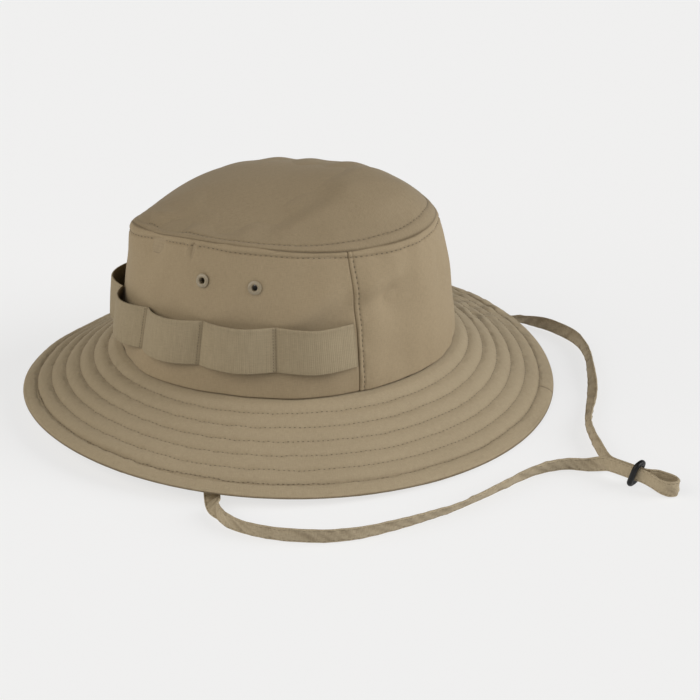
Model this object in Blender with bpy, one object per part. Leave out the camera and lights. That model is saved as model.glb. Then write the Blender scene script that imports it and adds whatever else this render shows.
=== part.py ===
"""Boonie hat with a quilted brim, a foliage webbing band, vent eyelets and a chin strap.

Frame: metres, +Z up. The hat stands on the lowest points of its brim at z = 0.
-Y is the front of the hat, +Y its back, -X the wearer's right side, +X the left.
Positions around the hat are given by an angle: 0 is the front, a quarter turn is
the wearer's right, half a turn is the back. Every cloth piece is a thin closed
shell, and neighbouring pieces keep a small gap, as separate plies do.
"""
from bisect import bisect_left
from math import atan2, cos, pi, radians, sin, tau

import bmesh
import bpy
from mathutils import Matrix, Vector

# ---------------------------------------------------------------- driving dimensions
PLY_GAP = 0.0003                 # air between two neighbouring pieces

# Crown: an oval tube that widens towards the brim
BASE_HALF_LENGTH = 0.0990        # crown at the brim seam, front to back
BASE_HALF_WIDTH = 0.0895         # crown at the brim seam, side to side
BASE_Z = 0.0350                  # mean height of the brim seam
BASE_FRONT_LIFT = 0.0009
BASE_SIDE_LIFT = 0.0008
TIP_HALF_LENGTH = 0.0900         # crown at the tip seam
TIP_HALF_WIDTH = 0.0660
TIP_Z = 0.1102                   # mean height of the tip seam
TIP_FRONT_LIFT = 0.0050          # the front of the tip seam stands higher than the back
TIP_SIDE_LIFT = 0.0046           # and its sides stand higher still
TIP_RIGHT_LIFT = 0.0011
TIP_WAVE = 0.0021
CROWN_SHIFT = -0.0012            # the crown stands a little forward on the brim
TIP_SHIFT = -0.0017              # and its tip a little further forward
WALL_BULGE = 0.0022              # the side band bows outwards between its seams
WALL_PLY = 0.0009

# Dome of the tip: a ridge from front to back, highest in the middle
DOME_TOP_Z = 0.1349
DOME_FULLNESS = 2.6              # 2 is a parabola, more is flatter on top
DOME_FRONT_LIFT = 0.0045
DOME_RIGHT_DIP = 0.0012
DOME_RIDGE = 0.0065
DOME_WAVE = 0.0022

# Brim: two plies over an interlining, sewn flat
BRIM_WIDTH = 0.0588
EDGE_Z = 0.0061                  # mean height of the middle of the brim's edge
EDGE_FRONT_DIP = 0.0011
EDGE_SIDE_LIFT = 0.0037          # the brim turns up at the sides
EDGE_TWIST = 0.0027
EDGE_WAVE = 0.0013
BRIM_PLY = 0.0006
BRIM_SAG = 0.0012                # how far the brim hollows between crown and edge
BRIM_THICKNESS = 3 * BRIM_PLY + 2 * PLY_GAP
HEM_LIP = 0.0010                 # width of the under ply's turned-up rim

# Seams, sweatband and bindings inside the crown
SEAM_ANGLE = radians(41)         # the side seams at the brim, each side of the front
SEAM_LEAN = radians(2)           # how much nearer the front they meet the tip
SWEATBAND_HEIGHT = 0.0300
SWEATBAND_DROP = 0.0025
SWEATBAND_PLY = 0.0014
TAPE_PLY = 0.0007
TIP_TAPE_HEIGHT = 0.0090
SIDE_TAPE_WIDTH = 0.0100
LABEL_HALF_TURN = 0.13
LABEL_PLY = 0.0004

# Foliage band: 25 mm webbing tacked down into loops
WEBBING_WIDTH = 0.0250
WEBBING_RUN = WEBBING_WIDTH * cos(radians(14.5))   # its height on the slant of the crown
WEBBING_THICKNESS = 0.0013
WEBBING_RISE = 0.0150            # its lower edge above the brim seam
WEBBING_BACK_DROP = 0.0045       # how much lower it sits at the back of the hat
LOOP_COUNT = 10
LOOP_STEPS = 8                   # sections of the webbing in each loop
LOOP_SLACK_FRONT = 0.0042        # how far a loop stands off near the front
LOOP_SLACK_BACK = 0.0066         # and at the back of the hat
TACK_WIDTH = 0.0009
TACK_THICKNESS = 0.0006

# Vent eyelets, two on each side
EYELET_ANGLES = {"front": radians(78), "rear": radians(102.5)}
EYELET_DROP = 0.26               # share of the side band's height below the tip seam
EYELET_FLANGE_RADIUS = 0.0039
EYELET_BARREL_RADIUS = 0.0023
EYELET_BORE_RADIUS = 0.0016
EYELET_FLANGE_HEIGHT = 0.0008
EYELET_HOLE_RADIUS = 0.0027      # the hole punched through the cloth
WASHER_PLY = 0.0005

# Chin strap: one flat tube of the body cloth, on its route from right to left
STRAP_WIDTH = 0.0092
STRAP_THICKNESS = 0.0012
STRAP_SQUEEZED_WIDTH = 0.0082    # where the slider grips it
STRAP_TACK_X = 0.0825

# Slider: a moulded oval ring round both runs of the strap
SLIDER_CENTRE = Vector((-0.0560, -0.2277, 0.0082))
SLIDER_HEADING = Vector((-0.33, -0.945, 0.0)).normalized()
SLIDER_HOLE_HEIGHT = 0.0100
SLIDER_HOLE_WIDTH = 0.0040
SLIDER_SECTION = 0.0027
SLIDER_LEAN = radians(20)
SLIDER_CORNER = 0.0013

CLOTH = (0.33, 0.275, 0.195)
CLOTH_INSIDE = (0.30, 0.25, 0.18)
WEBBING = (0.32, 0.262, 0.18)
THREAD = (0.26, 0.215, 0.145)


# ---------------------------------------------------------------- form of the hat
def oval_phase(angle, half_length, half_width):
    """The phase of an oval at a compass direction, as its own formula counts it."""
    return atan2(sin(angle) / half_width, cos(angle) / half_length)


def base_height(angle):
    """Height of the seam between crown and brim."""
    phase = oval_phase(angle, BASE_HALF_LENGTH, BASE_HALF_WIDTH)
    return BASE_Z + BASE_FRONT_LIFT * cos(phase) - BASE_SIDE_LIFT * cos(2 * phase)


def tip_height(angle):
    """Height of the seam between tip and side band."""
    phase = oval_phase(angle, TIP_HALF_LENGTH, TIP_HALF_WIDTH)
    lift = TIP_FRONT_LIFT * cos(phase) - TIP_SIDE_LIFT * cos(2 * phase)
    return TIP_Z + lift + TIP_RIGHT_LIFT * sin(phase) + TIP_WAVE * cos(3 * phase)


def edge_height(angle):
    """Height of the middle of the brim's outer edge."""
    phase = oval_phase(angle, BASE_HALF_LENGTH + BRIM_WIDTH, BASE_HALF_WIDTH + BRIM_WIDTH)
    lift = -EDGE_FRONT_DIP * cos(phase) - EDGE_SIDE_LIFT * cos(2 * phase)
    return EDGE_Z + lift - EDGE_TWIST * sin(2 * phase) + EDGE_WAVE * sin(3 * phase)


def oval(angle, half_length, half_width, centre_y, z):
    """The point of an oval round the hat's axis in a compass direction."""
    phase = oval_phase(angle, half_length, half_width)
    return Vector((-half_width * sin(phase), centre_y - half_length * cos(phase), z))


def wall_point(angle, height, depth=0.0):
    """The side band's outer face at a height, or a point that far inside it."""
    low, high = base_height(angle), tip_height(angle)
    share = max((height - low) / (high - low), 0.0)
    bulge = WALL_BULGE * max(sin(pi * share), 0.0) ** 0.7 - depth
    half_length = BASE_HALF_LENGTH + (TIP_HALF_LENGTH - BASE_HALF_LENGTH) * share + bulge
    half_width = BASE_HALF_WIDTH + (TIP_HALF_WIDTH - BASE_HALF_WIDTH) * share + bulge
    return oval(angle, half_length, half_width, CROWN_SHIFT + TIP_SHIFT * share, height)


def wall_normal(angle, height):
    """Outward direction of the side band."""
    step = 0.001
    along = wall_point(angle - step, height) - wall_point(angle + step, height)
    up = wall_point(angle, height + step) - wall_point(angle, height - step)
    return along.cross(up).normalized()


def tip_point(angle, reach, drop=0.0):
    """The tip's upper face; reach is 0 at its centre and 1 at its seam."""
    inside = 1.0 - reach ** DOME_FULLNESS
    phase = oval_phase(angle, TIP_HALF_LENGTH, TIP_HALF_WIDTH)
    swell = (DOME_FRONT_LIFT * cos(phase) - DOME_RIGHT_DIP * sin(phase)) * reach
    swell += (DOME_RIDGE * cos(2 * phase) + DOME_WAVE * cos(3 * phase)) * reach ** 2
    z = tip_height(angle) + (DOME_TOP_Z - tip_height(angle) + 2 * swell) * inside - drop
    half_length, half_width = TIP_HALF_LENGTH * reach, TIP_HALF_WIDTH * reach
    return oval(angle, half_length, half_width, CROWN_SHIFT + TIP_SHIFT, z)


def brim_point(angle, reach, drop=0.0, inset=0.0):
    """The brim's upper face; reach is 0 at the crown and 1 at the edge."""
    inner_y = CROWN_SHIFT * (1.0 - reach)
    out = BRIM_WIDTH * reach - inset
    start = base_height(angle) - PLY_GAP
    end = edge_height(angle) + BRIM_THICKNESS / 2
    z = start + (end - start) * reach - BRIM_SAG * sin(pi * reach) - drop
    return oval(angle, BASE_HALF_LENGTH + out, BASE_HALF_WIDTH + out, inner_y, z)


# ---------------------------------------------------------------- mesh helpers
def material(name, colour, roughness, metallic=0.0):
    """One Principled material."""
    result = bpy.data.materials.new(name)
    result.use_nodes = True
    shader = result.node_tree.nodes["Principled BSDF"]
    shader.inputs["Base Color"].default_value = (*colour, 1.0)
    shader.inputs["Roughness"].default_value = roughness
    shader.inputs["Metallic"].default_value = metallic
    result.diffuse_color = (*colour, 1.0)
    return result


def add_object(name, mesh_data, colour, roughness=0.85):
    """Turn a bmesh into a named object with its own material."""
    bmesh.ops.recalc_face_normals(mesh_data, faces=mesh_data.faces)
    mesh = bpy.data.meshes.new(name)
    mesh_data.to_mesh(mesh)
    mesh_data.free()
    mesh.shade_smooth()
    mesh.set_sharp_from_angle(angle=radians(40))
    mesh.materials.append(material(name, colour, roughness))
    result = bpy.data.objects.new(name, mesh)
    bpy.context.scene.collection.objects.link(result)
    return result


def shift_origin(body, centre):
    """Move an object's origin to a point without moving its shape."""
    body.data.transform(Matrix.Translation(-centre))
    body.location = centre


def loft(rings, closed):
    """Join equal sections; closed makes a ring of them, else both ends are capped."""
    result = bmesh.new()
    rows = [[result.verts.new(point) for point in ring] for ring in rings]
    pairs = list(zip(rows, rows[1:] + rows[:1])) if closed else list(zip(rows, rows[1:]))
    for first, second in pairs:
        for index in range(len(first)):
            after = (index + 1) % len(first)
            result.faces.new((first[index], first[after], second[after], second[index]))
    if not closed:
        result.faces.new(rows[0])
        result.faces.new(list(reversed(rows[-1])))
    return result


def angles(start, end, count, closed=False):
    """Evenly spaced angles; a closed round leaves the last one out."""
    steps = count if closed else count - 1
    return [start + (end - start) * index / steps for index in range(count)]


# ---------------------------------------------------------------- crown
def wall_section(angle, low, high, outer, inner, rows=5, lean=0.0):
    """A closed section through a ply of the side band, from low to high."""
    places = [(angle - lean * row / (rows - 1), low + (high - low) * row / (rows - 1))
              for row in range(rows)]
    section = [wall_point(turn, height, outer) for turn, height in places]
    section += [wall_point(turn, height, inner) for turn, height in reversed(places)]
    return section


def crown_panel(name, start, end, end_lean, count):
    """One panel of the side band between two seams that lean towards the front."""
    rings = []
    for step, angle in enumerate(angles(start, end, count)):
        lean = end_lean * (2 * step / (count - 1) - 1.0)
        top = tip_height(angle - lean) - WALL_PLY - PLY_GAP
        rings.append(wall_section(angle, base_height(angle), top, 0.0, WALL_PLY, lean=lean))
    return add_object(name, loft(rings, closed=False), CLOTH)


def crown_tip():
    """The domed oval panel on top."""
    rings = [0.985, 0.94, 0.84, 0.66, 0.38]
    turns = angles(0.0, tau, 60, closed=True)
    result = bmesh.new()
    layers = []
    for drop in (0.0, WALL_PLY):
        rows = []
        for reach in [1.0] + rings:
            rows.append([result.verts.new(tip_point(turn, reach, drop)) for turn in turns])
        layers.append(rows)
        for outer, inner in zip(rows, rows[1:]):
            for index in range(len(turns)):
                after = (index + 1) % len(turns)
                result.faces.new((outer[index], outer[after], inner[after], inner[index]))
        result.faces.new(rows[-1])
    for index in range(len(turns)):
        after = (index + 1) % len(turns)
        upper, lower = layers[0][0], layers[1][0]
        result.faces.new((upper[index], upper[after], lower[after], lower[index]))
    return add_object("crown_tip", result, CLOTH)


def tip_seam_binding():
    """The tape that covers the tip seam inside."""
    outer = WALL_PLY + 2 * PLY_GAP
    rings = []
    for angle in angles(0.0, tau, 60, closed=True):
        high = tip_height(angle) - 2 * WALL_PLY - 3 * PLY_GAP
        rings.append(wall_section(angle, high - TIP_TAPE_HEIGHT, high, outer,
                                  outer + TAPE_PLY, rows=2))
    return add_object("tip_seam_binding", loft(rings, closed=True), CLOTH_INSIDE)


def side_seam_binding(side):
    """The tape that covers one side seam inside, between tip tape and sweatband."""
    outer = WALL_PLY + 2 * PLY_GAP
    half_turn = SIDE_TAPE_WIDTH / 2 / BASE_HALF_WIDTH
    seam = SEAM_ANGLE if side == "right" else tau - SEAM_ANGLE
    lean = SEAM_LEAN if side == "right" else -SEAM_LEAN
    rings = []
    for angle in angles(seam - half_turn, seam + half_turn, 4):
        low = base_height(angle) - SWEATBAND_DROP + SWEATBAND_HEIGHT + PLY_GAP
        high = tip_height(angle) - 2 * WALL_PLY - 4 * PLY_GAP - TIP_TAPE_HEIGHT
        rings.append(wall_section(angle, low, high, outer, outer + TAPE_PLY, rows=4, lean=lean))
    return add_object(f"side_seam_binding_{side}", loft(rings, closed=False), CLOTH_INSIDE)


def sweatband_section(angle, start, end, outer, inner):
    """A flat section along the sweatband's height; shares 0 and 1 are its two edges."""
    low = base_height(angle) - SWEATBAND_DROP
    section = []
    for share, depth in ((start, outer), (end, outer), (end, inner), (start, inner)):
        bottom = wall_point(angle, low, depth)
        top = wall_point(angle, low + SWEATBAND_HEIGHT, depth)
        section.append(bottom.lerp(top, share))
    return section


def sweatband():
    """The band inside the crown that sits on the head."""
    outer = WALL_PLY + 2 * PLY_GAP
    rings = [sweatband_section(angle, 0.0, 1.0, outer, outer + SWEATBAND_PLY)
             for angle in angles(0.0, tau, 72, closed=True)]
    return add_object("sweatband", loft(rings, closed=True), CLOTH_INSIDE)


def care_label():
    """A blank label folded out of the back of the sweatband."""
    outer = WALL_PLY + 3 * PLY_GAP + SWEATBAND_PLY
    rings = [sweatband_section(angle, 0.20, 0.85, outer, outer + LABEL_PLY)
             for angle in angles(pi - LABEL_HALF_TURN, pi + LABEL_HALF_TURN, 5)]
    return add_object("care_label", loft(rings, closed=False), (0.75, 0.74, 0.70))


# ---------------------------------------------------------------- brim
def brim_ply(name, first_drop, ply, edge_inset):
    """One ply of the brim, as a closed ring."""
    reaches = [0.0, 0.3, 0.65, 1.0]
    tuck = WALL_PLY + PLY_GAP / 2
    rings = []
    for angle in angles(0.0, tau, 72, closed=True):
        insets = [tuck, 0.0, 0.0, edge_inset]
        top = [brim_point(angle, r, first_drop, i) for r, i in zip(reaches, insets)]
        low = [brim_point(angle, r, first_drop + ply, i) for r, i in zip(reaches, insets)]
        rings.append(top + low[::-1])
    return add_object(name, loft(rings, closed=True), CLOTH)


def brim_under():
    """The under ply, whose rim turns up round the interlining."""
    reaches = [0.0, 0.3, 0.65]
    tuck = WALL_PLY + PLY_GAP / 2
    insets = [tuck, 0.0, 0.0]
    top_drop = 2 * BRIM_PLY + 2 * PLY_GAP
    rings = []
    for angle in angles(0.0, tau, 72, closed=True):
        top = [brim_point(angle, r, top_drop, i) for r, i in zip(reaches, insets)]
        top.append(brim_point(angle, 1.0, top_drop, HEM_LIP))
        top.append(brim_point(angle, 1.0, BRIM_PLY + PLY_GAP, HEM_LIP))
        top.append(brim_point(angle, 1.0, BRIM_PLY + PLY_GAP))
        low = [brim_point(angle, 1.0, BRIM_THICKNESS)]
        low += [brim_point(angle, r, BRIM_THICKNESS, i)
                for r, i in zip(reversed(reaches), reversed(insets))]
        rings.append(top + low)
    return add_object("brim_under", loft(rings, closed=True), CLOTH)


# ---------------------------------------------------------------- foliage band
def band_stretch():
    """Where the webbing starts and ends, just behind the side seams."""
    margin = PLY_GAP / BASE_HALF_WIDTH
    return SEAM_ANGLE + margin, tau - SEAM_ANGLE - margin


def band_low(angle):
    """Height of the webbing's lower edge."""
    behind = max(-cos(angle), 0.0)
    return base_height(angle) + WEBBING_RISE - WEBBING_BACK_DROP * behind ** 2


def band_turns(count):
    """Angles that step evenly along the webbing, from one side seam to the other."""
    fine = angles(*band_stretch(), 900)
    places = [wall_point(angle, band_low(angle) + WEBBING_RUN / 2) for angle in fine]
    run = [0.0]
    for place, after in zip(places, places[1:]):
        run.append(run[-1] + (after - place).length)
    turns = []
    for step in range(count):
        want = run[-1] * step / (count - 1)
        index = min(bisect_left(run, want), len(fine) - 1)
        turns.append(fine[index])
    return turns


def loop_slack(angle):
    """How far the loops near this angle stand off the crown."""
    behind = (1.0 - cos(angle)) / 2
    return LOOP_SLACK_FRONT + (LOOP_SLACK_BACK - LOOP_SLACK_FRONT) * behind ** 1.5


def band_offset(angle, loops):
    """Gap between the webbing and the side band, so many loops along: nil at a tack."""
    return PLY_GAP + loop_slack(angle) * sin(pi * (loops % 1.0)) ** 1.3


def foliage_band():
    """The webbing round the sides and back, tacked at equal steps."""
    rings = []
    for step, angle in enumerate(band_turns(LOOP_COUNT * LOOP_STEPS + 1)):
        low = band_low(angle)
        offset = band_offset(angle, step / LOOP_STEPS)
        rings.append(wall_section(angle, low, low + WEBBING_RUN,
                                  -offset - WEBBING_THICKNESS, -offset, rows=2))
    return add_object("foliage_band", loft(rings, closed=False), WEBBING)


def loop_tack(number):
    """The stitched bar that holds the webbing down between two loops."""
    centre = band_turns(LOOP_COUNT + 1)[number]
    half_turn = TACK_WIDTH / 2 / BASE_HALF_WIDTH
    outer = -2 * PLY_GAP - WEBBING_THICKNESS - 0.0002
    low = band_low(centre) + 0.001
    rings = [wall_section(angle, low, low + WEBBING_RUN - 0.002,
                          outer - TACK_THICKNESS, outer, rows=2)
             for angle in (centre - half_turn, centre + half_turn)]
    return add_object(f"loop_tack_{number}", loft(rings, closed=False), THREAD)


# ---------------------------------------------------------------- vent eyelets
def eyelet_angle(side, place):
    """Angle of an eyelet on the wearer's right or left."""
    return EYELET_ANGLES[place] if side == "right" else tau - EYELET_ANGLES[place]


def eyelet_frame(side, place):
    """Centre on the outer face of the cloth, and the outward direction."""
    angle = eyelet_angle(side, place)
    height = tip_height(angle) + (base_height(angle) - tip_height(angle)) * EYELET_DROP
    return wall_point(angle, height), wall_normal(angle, height)


def turned(profile, centre, axis, segments=14):
    """A closed profile of (radius, height) turned about an axis through a centre."""
    turn = axis.to_track_quat("Z", "Y").to_matrix()
    rings = []
    for angle in angles(0.0, tau, segments, closed=True):
        spoke = Vector((cos(angle), sin(angle), 0.0))
        rings.append([centre + turn @ (spoke * radius + Vector((0.0, 0.0, height)))
                      for radius, height in profile])
    return loft(rings, closed=True)


def vent_eyelet(side, place):
    """A rolled metal eyelet: flange outside, barrel through the cloth."""
    centre, axis = eyelet_frame(side, place)
    low = 2 * PLY_GAP
    top = low + EYELET_FLANGE_HEIGHT
    tail = -WALL_PLY - WASHER_PLY - 2 * PLY_GAP
    crown = (EYELET_BORE_RADIUS + EYELET_FLANGE_RADIUS) / 2
    profile = [(EYELET_BORE_RADIUS, tail), (EYELET_BARREL_RADIUS, tail),
               (EYELET_BARREL_RADIUS, low), (EYELET_FLANGE_RADIUS, low),
               (EYELET_FLANGE_RADIUS, low + 0.0003), (crown, top),
               (EYELET_BORE_RADIUS + 0.0003, top - 0.0002), (EYELET_BORE_RADIUS, low)]
    return add_object(f"vent_eyelet_{side}_{place}", turned(profile, centre, axis),
                      (0.24, 0.20, 0.14), 0.5)


def eyelet_washer(side, place):
    """The flat washer the eyelet's barrel is set into, inside the crown."""
    centre, axis = eyelet_frame(side, place)
    high = -WALL_PLY - 2 * PLY_GAP
    inner = EYELET_BARREL_RADIUS + PLY_GAP
    outer = EYELET_FLANGE_RADIUS - 0.0002
    profile = [(inner, high - WASHER_PLY), (outer, high - WASHER_PLY), (outer, high), (inner, high)]
    return add_object(f"eyelet_washer_{side}_{place}", turned(profile, centre, axis),
                      (0.24, 0.20, 0.14), 0.5)


def punch_vents(panel):
    """Cut the four round holes for the eyelets through a crown panel."""
    for side in ("right", "left"):
        for place in EYELET_ANGLES:
            centre, axis = eyelet_frame(side, place)
            punch = bmesh.new()
            bmesh.ops.create_cone(punch, cap_ends=True, segments=16, depth=0.012,
                                  radius1=EYELET_HOLE_RADIUS, radius2=EYELET_HOLE_RADIUS)
            turn = axis.to_track_quat("Z", "Y").to_matrix().to_4x4()
            bmesh.ops.transform(punch, matrix=Matrix.Translation(centre) @ turn, verts=punch.verts)
            cutter = add_object(f"punch_{side}_{place}", punch, (1.0, 0.2, 0.1))
            cutter.hide_render = True
            cutter.display_type = "WIRE"
            cut = panel.modifiers.new(cutter.name, "BOOLEAN")
            cut.operation = "DIFFERENCE"
            cut.solver = "EXACT"
            cut.object = cutter


# ---------------------------------------------------------------- chin strap
def on_table(lean):
    """Height of the strap's middle where it rests on the table at this lean."""
    half_width, half_ply = STRAP_WIDTH / 2, STRAP_THICKNESS / 2
    return half_width * abs(sin(radians(lean))) + half_ply * abs(cos(radians(lean))) + 0.0003


def beside_slider(along, across, z):
    """A route point given from the slider: along the strap, and across it."""
    side = Vector((-SLIDER_HEADING.y, SLIDER_HEADING.x, 0.0))
    place = SLIDER_CENTRE + SLIDER_HEADING * along + side * across
    return (place.x, place.y, z)


def strap_route():
    """Hand-placed points (x, y, z) and lean: 0 lies flat, 90 stands on its edge."""
    grip = SLIDER_CENTRE.z
    run = STRAP_THICKNESS / 2 + 0.0002
    return [
        # right anchor, down inside the crown and out under the brim
        ((-0.0833, -0.0020, 0.0440), 0), ((-0.0852, -0.0020, 0.0345), 0),
        ((-0.0875, -0.0020, 0.0240), 0), ((-0.0945, -0.0022, 0.0150), 0),
        ((-0.1060, -0.0040, 0.0075), 0), ((-0.1190, -0.0080, 0.0032), 5),
        ((-0.1315, -0.0135, on_table(14)), 14), ((-0.1435, -0.0198, on_table(17)), 17),
        # along the table past the wearer's right side, leaning outwards
        ((-0.1522, -0.0249, on_table(38)), 38), ((-0.1590, -0.0305, on_table(80)), 80),
        ((-0.1660, -0.0395, on_table(92)), 92), ((-0.1700, -0.0525, on_table(103)), 103),
        ((-0.1702, -0.0700, on_table(104)), 104), ((-0.1665, -0.0880, on_table(104)), 104),
        ((-0.1615, -0.1005, on_table(106)), 106), ((-0.1525, -0.1135, on_table(111)), 111),
        ((-0.1385, -0.1275, on_table(117)), 117), ((-0.1255, -0.1385, on_table(123)), 123),
        ((-0.1120, -0.1485, on_table(127)), 127), ((-0.0860, -0.1625, on_table(120)), 120),
        ((-0.0710, -0.1700, on_table(117)), 117), ((-0.0595, -0.1780, on_table(115)), 115),
        ((-0.0520, -0.1880, on_table(111)), 111), ((-0.0495, -0.1990, on_table(104)), 104),
        # through the slider, round the end loop and back through it
        (beside_slider(-0.0200, -run, 0.0076), 96), (beside_slider(-0.0145, -run, grip), 90),
        (beside_slider(-0.0060, -run, grip), 90), (beside_slider(0.0000, -run, grip), 90),
        (beside_slider(0.0050, -run, grip), 90), (beside_slider(0.0105, -0.0010, 0.0074), 90),
        (beside_slider(0.0160, -0.0010, 0.0060), 91), (beside_slider(0.0205, 0.0002, 0.0054), 92),
        (beside_slider(0.0232, 0.0034, 0.0052), 92), (beside_slider(0.0215, 0.0066, 0.0053), 91),
        (beside_slider(0.0170, 0.0074, 0.0059), 90), (beside_slider(0.0110, 0.0054, 0.0072), 90),
        (beside_slider(0.0075, 0.0020, 0.0081), 90), (beside_slider(0.0040, run, grip), 90),
        (beside_slider(0.0000, run, grip), 90), (beside_slider(-0.0060, run, grip), 90),
        (beside_slider(-0.0145, run, grip), 90), (beside_slider(-0.0195, 0.0028, 0.0074), 92),
        (beside_slider(-0.0245, 0.0072, 0.0058), 94),
        # back along the table past the front to the wearer's left side
        ((-0.0345, -0.2032, on_table(96)), 96), ((-0.0175, -0.1930, on_table(94)), 94),
        ((-0.0060, -0.1872, on_table(99)), 99), ((0.0060, -0.1835, on_table(114)), 114),
        ((0.0200, -0.1803, on_table(127)), 127), ((0.0380, -0.1760, on_table(127)), 127),
        ((0.0590, -0.1690, on_table(113)), 113), ((0.0780, -0.1618, on_table(102)), 102),
        ((0.0900, -0.1558, on_table(95)), 95), ((0.1020, -0.1470, on_table(93)), 93),
        ((0.1105, -0.1355, on_table(88)), 88), ((0.1165, -0.1225, on_table(79)), 79),
        ((0.1190, -0.1080, on_table(56)), 56), ((0.1205, -0.0930, on_table(32)), 32),
        # under the brim and up inside the crown to the left anchor
        ((0.1225, -0.0770, on_table(18)), 18), ((0.1235, -0.0580, on_table(6)), 6),
        ((0.1210, -0.0390, 0.0014), 0), ((0.1150, -0.0215, 0.0028), 0),
        ((0.1065, -0.0085, 0.0070), 0), ((0.0970, -0.0028, 0.0135), 0),
        ((0.0885, -0.0020, 0.0235), 0), ((0.0852, -0.0020, 0.0345), 0),
        ((0.0833, -0.0020, 0.0440), 0),
    ]


def smooth_between(before, start, end, after, share):
    """A Catmull-Rom curve through start and end."""
    square, cube = share ** 2, share ** 3
    return 0.5 * (2 * start + (end - before) * share
                  + (2 * before - 5 * start + 4 * end - after) * square
                  + (3 * start - before - 3 * end + after) * cube)


def strap_line():
    """Points and leans on one smooth curve through the route."""
    route = strap_route()
    places = [Vector(place) for place, _ in route]
    leans = [float(lean) for _, lean in route]
    line = []
    for index in range(len(route) - 1):
        picks = [max(index - 1, 0), index, index + 1, min(index + 2, len(route) - 1)]
        gap = (places[index + 1] - places[index]).length
        steps = 1 if gap < 0.0095 else 2
        for step in range(steps):
            share = step / steps
            line.append((smooth_between(*[places[pick] for pick in picks], share),
                         smooth_between(*[leans[pick] for pick in picks], share)))
    line.append((places[-1], leans[-1]))
    return line


def strap_width(place):
    """The strap narrows where the slider grips it."""
    far = (place - SLIDER_CENTRE).length
    share = min(max((far - 0.0150) / 0.006, 0.0), 1.0)
    return STRAP_SQUEEZED_WIDTH + (STRAP_WIDTH - STRAP_SQUEEZED_WIDTH) * share


def chin_strap():
    """A flat ribbon swept along its route, turning between flat and on edge."""
    line = strap_line()
    rings = []
    for index, (place, lean) in enumerate(line):
        ahead, behind = line[min(index + 1, len(line) - 1)][0], line[max(index - 1, 0)][0]
        along = (ahead - behind).normalized()
        flat = Vector((-along.y, along.x, 0.0)).normalized()
        upright = along.cross(flat)
        upright *= 1.0 if upright.z > 0.0 else -1.0
        across = flat * cos(radians(lean)) + upright * sin(radians(lean))
        half_width = across * strap_width(place) / 2
        half_ply = along.cross(across).normalized() * STRAP_THICKNESS / 2
        rings.append([place + half_width + half_ply, place - half_width + half_ply,
                      place - half_width - half_ply, place + half_width - half_ply])
    return add_object("chin_strap", loft(rings, closed=False), CLOTH)


def strap_tack(side):
    """The bar tack that holds one end of the strap to the sweatband."""
    mirror = -1.0 if side == "right" else 1.0
    result = bmesh.new()
    bmesh.ops.create_cube(result, size=1.0)
    bmesh.ops.scale(result, vec=(0.0006, 0.0074, 0.0020), verts=result.verts)
    bmesh.ops.translate(result, vec=(mirror * STRAP_TACK_X, -0.0020, 0.0410), verts=result.verts)
    return add_object(f"strap_tack_{side}", result, THREAD)


def slider_outline():
    """Middle line of the ring: a rounded oblong, as (across, up) pairs."""
    half_wide = (SLIDER_HOLE_WIDTH + SLIDER_SECTION) / 2
    half_high = (SLIDER_HOLE_HEIGHT + SLIDER_SECTION) / 2
    corner = SLIDER_CORNER + SLIDER_SECTION / 2
    outline = []
    for quarter, (right, up) in enumerate(((1, 1), (-1, 1), (-1, -1), (1, -1))):
        for turn in angles(quarter * pi / 2, (quarter + 1) * pi / 2, 6):
            outline.append((right * (half_wide - corner) + corner * cos(turn),
                            up * (half_high - corner) + corner * sin(turn)))
    return outline


def chin_strap_slider():
    """The moulded oval ring, leaning a little along the strap."""
    across = Vector((-SLIDER_HEADING.y, SLIDER_HEADING.x, 0.0))
    up = Vector((0.0, 0.0, cos(SLIDER_LEAN))) + SLIDER_HEADING * sin(SLIDER_LEAN)
    through = across.cross(up)
    line = [SLIDER_CENTRE + across * x + up * y for x, y in slider_outline()]
    rings = []
    for index, place in enumerate(line):
        along = (line[(index + 1) % len(line)] - line[index - 1]).normalized()
        out = along.cross(through).normalized()
        rings.append([place + (out * cos(turn) + through * sin(turn)) * SLIDER_SECTION / 2
                      for turn in angles(0.0, tau, 10, closed=True)])
    ring = add_object("chin_strap_slider", loft(rings, closed=True), (0.015, 0.015, 0.016), 0.45)
    shift_origin(ring, SLIDER_CENTRE)
    return ring


# ---------------------------------------------------------------- build
def clear_scene():
    """Remove whatever the scene holds."""
    for old in list(bpy.data.objects):
        bpy.data.objects.remove(old, do_unlink=True)


def build():
    """Make every sub-part of the hat."""
    clear_scene()
    hat = bpy.data.objects.new("boonie_hat", None)
    bpy.context.scene.collection.objects.link(hat)

    seam_gap = PLY_GAP / 2 / BASE_HALF_WIDTH
    front = crown_panel("crown_front_panel", -SEAM_ANGLE + seam_gap,
                        SEAM_ANGLE - seam_gap, SEAM_LEAN, 17)
    back = crown_panel("crown_back_panel", SEAM_ANGLE + seam_gap,
                       tau - SEAM_ANGLE - seam_gap, -SEAM_LEAN, 53)
    punch_vents(back)
    parts = [front, back, crown_tip(), tip_seam_binding(), sweatband(), care_label()]
    parts += [side_seam_binding("right"), side_seam_binding("left")]

    parts += [brim_ply("brim_upper", 0.0, BRIM_PLY, 0.0),
              brim_ply("brim_interlining", BRIM_PLY + PLY_GAP, BRIM_PLY, HEM_LIP + PLY_GAP),
              brim_under()]

    parts.append(foliage_band())
    parts += [loop_tack(number) for number in range(1, LOOP_COUNT)]

    for side in ("right", "left"):
        for place in EYELET_ANGLES:
            parts += [vent_eyelet(side, place), eyelet_washer(side, place)]
        parts.append(strap_tack(side))
    parts.append(chin_strap())
    parts.append(chin_strap_slider())
    for piece in parts:
        piece.parent = hat


build()
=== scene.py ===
"""Looks of the boonie hat: cloth, webbing, stitching, eyelets, strap, slider, light and camera."""
from math import cos, pi, radians, sin, tau

import bpy
import numpy as np
from mathutils import Matrix, Vector


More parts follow.
